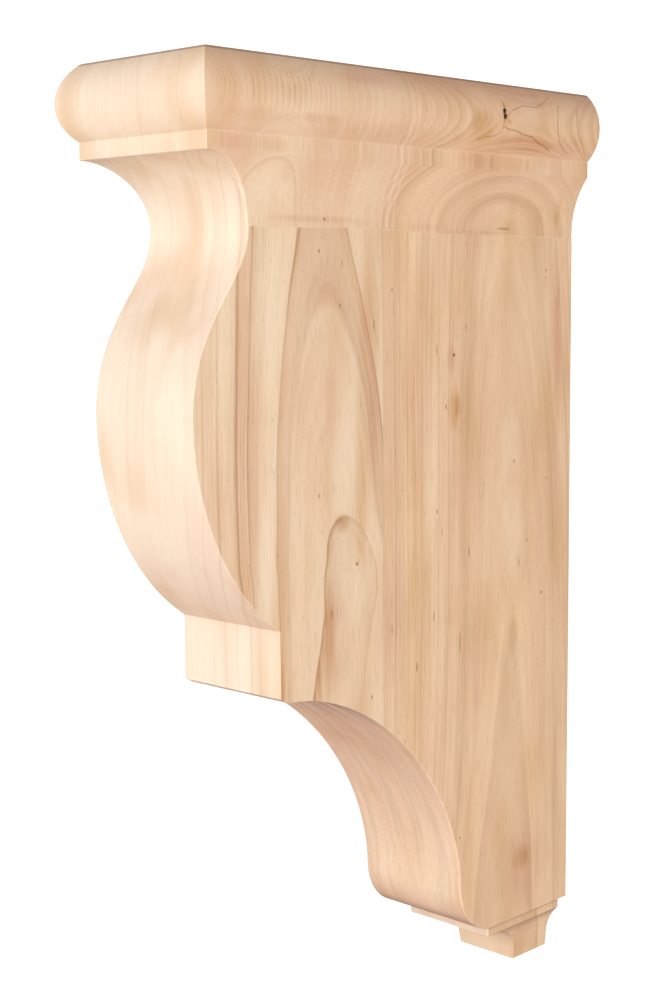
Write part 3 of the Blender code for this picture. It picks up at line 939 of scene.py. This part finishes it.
# The cutter left chatter on the near end of the nose, upright marks a few millimetres apart,
# and clear upright lines run over the whole cap beside the boards' glue line
CHATTER_GAP = 2.55
CHATTER_PLACE = (-170.0, 165.5)
CHATTER_SPREAD = (30.0, 8.5)
CHATTER_DRIFT = 9.0
uneven = add(shade, "ShaderNodeMath", {0: cloud, 1: CHATTER_DRIFT}, operation="MULTIPLY")
beat = add(
    shade,
    "ShaderNodeMath",
    {0: axes["Y"], 1: 2 * math.pi / CHATTER_GAP, 2: uneven},
    operation="MULTIPLY_ADD",
)
beat = add(shade, "ShaderNodeMath", {0: beat}, operation="SINE")
crest, trough = [
    add(shade, "ShaderNodeMapRange", {"Value": beat, "From Min": low, "From Max": high, "To Max": most})
    for low, high, most in ((0.35, 1, 0.25), (-0.2, -1, 0.1))
]
# The chatter's patch and the knot's hole are ovals: the distance from the middle is 1 at the rim
chatter_spot, hole = [
    add(
        shade,
        "ShaderNodeMapping",
        {
            "Vector": place,
            "Location": (0, -centre[0] / radii[0], -centre[1] / radii[1]),
            "Scale": (0, 1 / radii[0], 1 / radii[1]),
        },
    )
    for centre, radii in ((CHATTER_PLACE, CHATTER_SPREAD), (KNOT_PLACE, KNOT_RADII))
]
chatter_spot, hole = [
    add(
        shade,
        "ShaderNodeMapRange",
        {
            "Value": add(shade, "ShaderNodeVectorMath", {0: oval}, operation="LENGTH"),
            "From Min": rim,
            "From Max": core,
            "To Max": most,
        },
    )
    for oval, rim, core, most in ((chatter_spot, 1, 0.55, 1), (hole, 1.25, 0.95, 0.97))
]
for mask in (near_side, streaks):
    chatter_spot = add(shade, "ShaderNodeMath", {0: chatter_spot, 1: mask}, operation="MULTIPLY")
crest, trough = [
    add(
        shade,
        "ShaderNodeMath",
        {0: wave, 1: chatter_spot},
        operation="MULTIPLY") for wave in (crest, trough,
    )
]
CAP_LINES = (
    (-148, 0), (-145.4, 0.1), (-144.9, 0.34), (-144.4, 0), (-141.4, 0.04), (-140.9, 0.38), (-140.3, 0),
    (-137.6, 0), (-137.1, 0.3), (-136.5, 0.06), (-133.6, 0), (-133.1, 0.46), (-132.4, 0.04),
    (-129.4, 0), (-128.8, 0.34), (-128.2, 0), (-124.9, 0.05), (-124.4, 0.4), (-123.7, 0),
    (-119.6, 0.02), (-119.1, 0.24), (-118.5, 0), (-112.2, 0.05), (-111.5, 0.56), (-110.6, 0.1),
    (-108.8, 0.1), (-108.2, 0.44), (-107.3, 0), (-104, 0),
)
cap_lines = ring_tones(axes["Y"], CAP_LINES)
for mask in (is_strip, fade):
    cap_lines = add(shade, "ShaderNodeMath", {0: cap_lines, 1: mask}, operation="MULTIPLY")
crest = add(shade, "ShaderNodeMath", {0: crest, 1: cap_lines}, operation="MAXIMUM")

# Painted highlights: pale lines on the crisp edges where they catch the light, the fillet's upper edge and
# the step under each side cove
nose_level = HEIGHT / 2 - nose_end
fillet_edge_highlight = add(shade, "ShaderNodeMath", {0: axes["Z"], 1: nose_level, 2: 0.24}, operation="COMPARE")
for mask in (side_facing, 0.3):
    fillet_edge_highlight = add(shade, "ShaderNodeMath", {0: fillet_edge_highlight, 1: mask}, operation="MULTIPLY")
step_edge_highlight = add(shade, "ShaderNodeMath", {0: 1.0, 1: cap_share}, operation="SUBTRACT")
for mask in (cap_share, 2.4, side_facing):
    step_edge_highlight = add(shade, "ShaderNodeMath", {0: step_edge_highlight, 1: mask}, operation="MULTIPLY")
edge_highlights = add(shade, "ShaderNodeMath", {0: fillet_edge_highlight, 1: step_edge_highlight}, operation="MAXIMUM")
# Painted shade: a dark line along the cap's eased top edge, where it turns up away from the light
top_arris_shade = add(shade, "ShaderNodeMath", {0: facing["Z"], 1: 0.72, 2: 0.22}, operation="COMPARE")
high_up = add(shade, "ShaderNodeMath", {0: axes["Z"], 1: HEIGHT / 2 - 1}, operation="GREATER_THAN")
# Painted shade: the upward-facing top of the nose is ruddier and darker away from its front corner, where
# little light falls on it from above
nose_top_shade = add(
    shade, "ShaderNodeMapRange", {"Value": facing["Z"], "From Min": 0.2, "From Max": 0.8, "To Max": 0.48}
)
from_corner = add(shade, "ShaderNodeMapRange", {"Value": axes["Y"], "From Min": -170.0, "From Max": -105.0})
nose_band = add(shade, "ShaderNodeMath", {0: axes["Z"], 1: nose_level}, operation="GREATER_THAN")
for mask in (from_corner, nose_band):
    nose_top_shade = add(shade, "ShaderNodeMath", {0: nose_top_shade, 1: mask}, operation="MULTIPLY")

# Dark veins that run out from the knot over the nose, each along y or z as (along, across)
# points, with its half width and strength. The first is the drying crack itself
VEINS = (
    ("Z", CRACK, 0.24, 0.85),
    ("Y", ((-61, 162.4), (-59.6, 161), (-51.6, 159.7), (-43.2, 158.1),
     (-35.6, 156), (-28.3, 154)), 0.26, 0.66),
    ("Y", ((-74, 155.6), (-69.1, 156.9), (-63.4, 158.3), (-60.9, 161.6)), 0.25, 0.5),
    ("Y", ((-59.2, 162.6), (-56, 167.2), (-51.5, 168.9), (-39.6, 170.2), (-29.1, 174.6)), 0.25, 0.5),
    ("Z", ((153.7, -16.8), (157.3, -24.4), (162.3, -27.6), (166.5, -27.6), (171.5, -25.4)), 0.34, 0.52),
    ("Z", ((153.2, -4), (156, -8), (161.3, -14), (166.6, -15.2), (171, -13.6)), 0.34, 0.46),
)
on_nose = add(shade, "ShaderNodeMath", {0: axes["X"], 1: fillet_half - 1}, operation="GREATER_THAN")
rough_place = add(shade, "ShaderNodeTexNoise", {"Vector": place, "Scale": 0.16, "Detail": 2.0})
wander = add(shade, "ShaderNodeMapRange", {"Value": rough_place, "To Min": -1.0, "To Max": 1.0})
veins = 0.0
for axis, points, half_width, depth in VEINS:
    along, across = axes[axis], axes["Z" if axis == "Y" else "Y"]
    middle_at = (points[0][0] + points[-1][0]) / 2
    half_length = (points[-1][0] - points[0][0]) / 2
    aside = add(shade, "ShaderNodeMath", {0: across, 1: path_along(along, points)}, operation="SUBTRACT")
    if points != CRACK:
        aside = add(shade, "ShaderNodeMath", {0: aside, 1: wander}, operation="ADD")
    aside = add(shade, "ShaderNodeMath", {0: aside}, operation="ABSOLUTE")
    line = add(
        shade,
        "ShaderNodeMapRange",
        {"Value": aside, "From Min": half_width * 1.6, "From Max": half_width * 0.4, "To Max": depth},
    )
    within = add(shade, "ShaderNodeMath", {0: along, 1: middle_at, 2: half_length}, operation="COMPARE")
    line = add(shade, "ShaderNodeMath", {0: line, 1: within}, operation="MULTIPLY")
    veins = add(shade, "ShaderNodeMath", {0: veins, 1: line}, operation="MAXIMUM")

# Glue lines: a hair line between the boards, and one on the cap's front beside each strip
glue = 0.0
for across, at, half_width, shown in (
    (axes["Y"], GLUE_LINE, 0.14, side_facing),
    (sideways, body_half + 0.06, 0.12, front_facing),
):
    seam = add(shade, "ShaderNodeMath", {0: across, 1: at, 2: half_width}, operation="COMPARE")
    seam = add(shade, "ShaderNodeMath", {0: seam, 1: shown}, operation="MULTIPLY")
    glue = add(shade, "ShaderNodeMath", {0: glue, 1: seam}, operation="MAXIMUM")

# End grain drinks the light: faces across the board are a shade deeper than faces along it.
# The same darkening also serves as painted shade on faces that turn down, such as the underside of the nose
end_grain_and_shade = add(shade, "ShaderNodeMath", {0: facing["Z"], 1: facing["Z"]}, operation="MULTIPLY")
cove_clear = add(
    shade,
    "ShaderNodeMapRange",
    {"Value": axes["Z"], "From Min": -60, "From Max": 60, "To Min": 1, "To Max": 0.27},
)
cove_clear = add(
    shade, "ShaderNodeMix", {"Factor": side_facing, "A": cove_clear, "B": 1.0}, data_type="FLOAT"
)
# The hollow below the block is left as the saw cut it. Where it faces down, most so at its top, it is painted
# pinker as shade, and brown saw streaks that follow the sweep are painted darker there as shade, most towards
# the front
BURN_SCALE = (0.42, 0.02, 0.02)
sawn_underside_shade = add(
    shade, "ShaderNodeMapRange", {"Value": facing["Z"], "From Min": -0.1, "From Max": -0.95, "To Max": 0.55}
)
sawn_underside_shade = add(shade, "ShaderNodeMath", {0: sawn_underside_shade, 1: in_hollow}, operation="MULTIPLY")
burn = add(shade, "ShaderNodeVectorMath", {0: place, 1: BURN_SCALE}, operation="MULTIPLY")
burn = add(shade, "ShaderNodeTexNoise", {"Vector": burn, "Scale": 1.0, "Detail": 3.0, "Roughness": 0.6})
burn = add(shade, "ShaderNodeMapRange", {"Value": burn, "From Min": 0.44, "From Max": 0.62, "To Min": 0.12})
forward_streak_shade = add(
    shade, "ShaderNodeMapRange", {"Value": axes["Y"], "From Min": -110.0, "From Max": -148.0, "To Max": 1.7}
)
# Painted shade: the belly's down-facing underside is a little ruddier than the rest of the front
belly_underside_shade = add(
    shade, "ShaderNodeMapRange", {"Value": facing["Z"], "From Min": -0.05, "From Max": -0.6, "To Max": 0.17}
)
below_crown = add(shade, "ShaderNodeMath", {0: axes["Z"], 1: HEIGHT / 2 - ogee_end}, operation="LESS_THAN")
# Painted shade: the toe's underside, the plate just under the toe and the top of the drop just under the
# plate are darker where they meet
toe_and_plate_shade = add(
    shade,
    "ShaderNodeMapRange",
    {"Value": facing["Z"], "From Min": -0.62, "From Max": -0.94, "To Max": 0.62},
)
below_sweep = add(shade, "ShaderNodeMath", {0: axes["Z"], 1: HEIGHT / 2 - sweep_end}, operation="LESS_THAN")
toe_and_plate_shade = add(shade, "ShaderNodeMath", {0: toe_and_plate_shade, 1: below_sweep}, operation="MULTIPLY")
for ledge, deep, strength in ((body_end, 3.4, 0.85), (plate_end, 5.0, 0.5)):
    top = HEIGHT / 2 - ledge
    under = add(shade, "ShaderNodeMath", {0: axes["Z"], 1: top + 0.01}, operation="LESS_THAN")
    ledge_shadow = add(
        shade,
        "ShaderNodeMapRange",
        {"Value": axes["Z"], "From Min": top - deep, "From Max": top, "To Max": strength},
    )
    ledge_shadow = add(shade, "ShaderNodeMath", {0: ledge_shadow, 1: under}, operation="MULTIPLY")
    toe_and_plate_shade = add(shade, "ShaderNodeMath", {0: toe_and_plate_shade, 1: ledge_shadow}, operation="MAXIMUM")
# The cap's front is a little yellower, and the plate's front is painted paler, as a painted highlight
front_cap = add(
    shade, "ShaderNodeMath", {0: axes["Z"], 1: HEIGHT / 2 - fillet_end}, operation="GREATER_THAN"
)
plate_middle = HEIGHT / 2 - (body_end + plate_end) / 2
plate_highlight_band = add(
    shade, "ShaderNodeMath", {0: axes["Z"], 1: plate_middle, 2: PLATE_THICKNESS / 2}, operation="COMPARE"
)

# Sanding leaves the pores open and the hair lines standing, by a few hundredths of a millimetre
RELIEF = 0.06 * MM
relief = add(shade, "ShaderNodeMath", {0: pores, 1: cell_dark}, operation="ADD")
relief = add(shade, "ShaderNodeMath", {0: 1.0, 1: relief}, operation="SUBTRACT")
relief = add(shade, "ShaderNodeBump", {"Height": relief, "Strength": 0.5, "Distance": RELIEF})

# The front is sanded finer than the sides, so its pores and hair lines are fainter
muted = add(shade, "ShaderNodeMapRange", {"Value": planed_front, "To Min": 1.0, "To Max": 0.4})
fine_muted = add(shade, "ShaderNodeMath", {0: muted, 1: quiet}, operation="MULTIPLY")
cap_muted = add(shade, "ShaderNodeMapRange", {"Value": is_strip, "To Min": 1.0, "To Max": 0.35})
pore_muted = add(shade, "ShaderNodeMath", {0: muted, 1: cap_muted}, operation="MULTIPLY")

# The tints, among them the painted shade and painted highlights, are laid over the board's own colour one by
# one, each by its amount, which the masks and strengths after it hold back
colour = add(shade, "ShaderNodeMix", {"Factor": is_back, "A": STRAW, "B": TAN}, data_type="RGBA")
for tint, amount, *masks in (
    (BLUSH, blush, front_blush),
    (GOLD, gold),
    (RUDDY, ruddy),
    (GOLD, amber),
    (HEARTWOOD, stains),
    (GROWTH_LINE, ring_dark),
    (GROWTH_LINE, fine_dark, fine_muted),
    (PALE, fine_light, fine_muted),
    (PALE, lights),
    (GROWTH_LINE, trough),
    (PALE, crest),
    (PALE, edge_highlights, streaks),
    (PORE, cell_dark, muted),
    (PORE, pores, pore_muted),
    (END_GRAIN, end_grain_and_shade, 0.36, cove_clear),
    (RUDDY, sawn_underside_shade),
    (GOLD, front_cap, front_facing, 0.13),
    (RUDDY, belly_underside_shade, planed_front, below_crown),
    (RUDDY, nose_top_shade),
    (SHADE_AND_STREAK_BROWN, nose_top_shade, 0.24),
    (SHADE_AND_STREAK_BROWN, hollow_front, burn, 0.15),
    (BARK, forward_streak_shade, sawn_underside_shade, burn),
    (SHADE_AND_STREAK_BROWN, toe_and_plate_shade),
    (PALE, plate_highlight_band, front_facing, 0.32),
    (RUDDY, is_strip, side_facing, 0.09),
    (PORE, top_arris_shade, high_up, 0.5),
    (PORE, glue, 0.16),
    (PORE, specks),
    (VEIN, veins, on_nose, patchy),
    (BARK, hole, on_nose),
):
    for mask in masks:
        amount = add(shade, "ShaderNodeMath", {0: amount, 1: mask}, operation="MULTIPLY")
    colour = add(shade, "ShaderNodeMix", {"Factor": amount, "A": colour, "B": tint}, data_type="RGBA")

surface = add(
    shade,
    "ShaderNodeBsdfPrincipled",
    {"Base Color": colour, "Roughness": sheen_break, "IOR": 1.5, "Specular IOR Level": 0.3, "Normal": relief},
)
add(shade, "ShaderNodeOutputMaterial", {"Surface": surface})

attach(corbel, "root")
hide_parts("corbel")

# Studio
# A plain white floor well below the corbel, which hangs in the air as it would on its wall.
# Large soft lights stand in front and to the right, with a fill at the left and one behind. The
# light from the front is the stronger and cooler one, so the front face reads paler than the side
WHITE = (1.0, 1.0, 1.0, 1.0)
FLOOR_DEPTH = 0.75
FLOOR_HALF = 12.0
floor_mesh = bpy.data.meshes.new("floor")
floor_corners = ((-1, -1), (1, -1), (1, 1), (-1, 1))
floor_points = [(x * FLOOR_HALF, y * FLOOR_HALF, -FLOOR_DEPTH) for x, y in floor_corners]
floor_mesh.from_pydata(floor_points, [], [(0, 1, 2, 3)])
floor = in_scene("floor", floor_mesh)
paper = bpy.data.materials.new("white_paper")
paper.use_nodes = True
paper.node_tree.nodes.clear()
seen = add(paper.node_tree, "ShaderNodeLightPath").outputs["Is Camera Ray"]
paper_surface = add(
    paper.node_tree,
    "ShaderNodeBsdfPrincipled",
    {"Base Color": WHITE, "Roughness": 0.9, "Emission Color": WHITE, "Emission Strength": seen},
)
add(paper.node_tree, "ShaderNodeOutputMaterial", {"Surface": paper_surface})
floor_mesh.materials.append(paper)

SKY_LIGHT = 0.09
SKY_SEEN = 1.2
world = bpy.data.worlds.new("studio")
bpy.context.scene.world = world
world.use_nodes = True
world.node_tree.nodes.clear()
seen = add(world.node_tree, "ShaderNodeLightPath").outputs["Is Camera Ray"]
strength = add(
    world.node_tree, "ShaderNodeMapRange", {"Value": seen, "To Min": SKY_LIGHT, "To Max": SKY_SEEN}
)
sky = add(world.node_tree, "ShaderNodeBackground", {"Color": WHITE, "Strength": strength})
add(world.node_tree, "ShaderNodeOutputWorld", {"Surface": sky})

# Each light as its place, its width and height in metres, its watts, its tint and how far it
# spreads in degrees: the two fills are narrow, so they hardly reach the floor
LIGHT_AIM = (0.0, -0.12, 0.0)
COOL = (0.88, 1.0, 1.20)
NEUTRAL = (1.0, 1.0, 1.02)
WARM = (1.09, 1.0, 0.88)
for name, place_at, side_length, power, tint, spread in (
    ("front_high", (-0.3, -1.7, 1.0), 1.0, 11.8, COOL, 180),
    ("front", (-0.3, -1.9, 0.0), 1.0, 6.4, COOL, 180),
    ("camera_high", (0.9, -1.4, 1.0), 1.0, 7.6, NEUTRAL, 180),
    ("camera_near", (0.5, -1.0, -0.05), 0.5, 3.8, NEUTRAL, 180),
    ("right", (1.8, -0.5, 0.0), 1.0, 14.4, WARM, 180),
    ("left", (-1.8, 0.3, 0.4), 1.0, 1.8, NEUTRAL, 45),
    ("back", (-0.3, 2.0, 0.6), 1.0, 1.8, NEUTRAL, 45),
):
    lamp = bpy.data.lights.new(name, "AREA")
    lamp.size = side_length
    lamp.energy = power
    lamp.color = tint
    lamp.spread = math.radians(spread)
    light = in_scene(name, lamp)
    light.location = place_at
    direction = [b - a for a, b in zip(place_at, LIGHT_AIM)]
    yaw = math.atan2(-direction[0], direction[1])
    pitch = math.atan2(direction[2], math.hypot(direction[0], direction[1]))
    light.rotation_euler = (math.pi / 2 + pitch, 0.0, yaw)

# The photograph's view: from the right front, a little below the top, looking slightly down
CAMERA_PLACE = (0.4401, -0.5711, 0.09882)
CAMERA_YAW = math.radians(44.088)
CAMERA_PITCH = math.radians(-6.769)
CAMERA_ROLL = math.radians(-0.419)
LENS = 61.58
camera_data = bpy.data.cameras.new("camera")
camera_data.sensor_width = 36.0
camera_data.lens = LENS
camera = in_scene("camera", camera_data)
camera.location = CAMERA_PLACE
turned = Matrix.Rotation(CAMERA_YAW, 3, "Z") @ Matrix.Rotation(math.pi / 2 + CAMERA_PITCH, 3, "X")
camera.rotation_euler = (turned @ Matrix.Rotation(CAMERA_ROLL, 3, "Z")).to_euler()
bpy.context.scene.camera = camera
bpy.context.scene.view_settings.view_transform = "Standard"
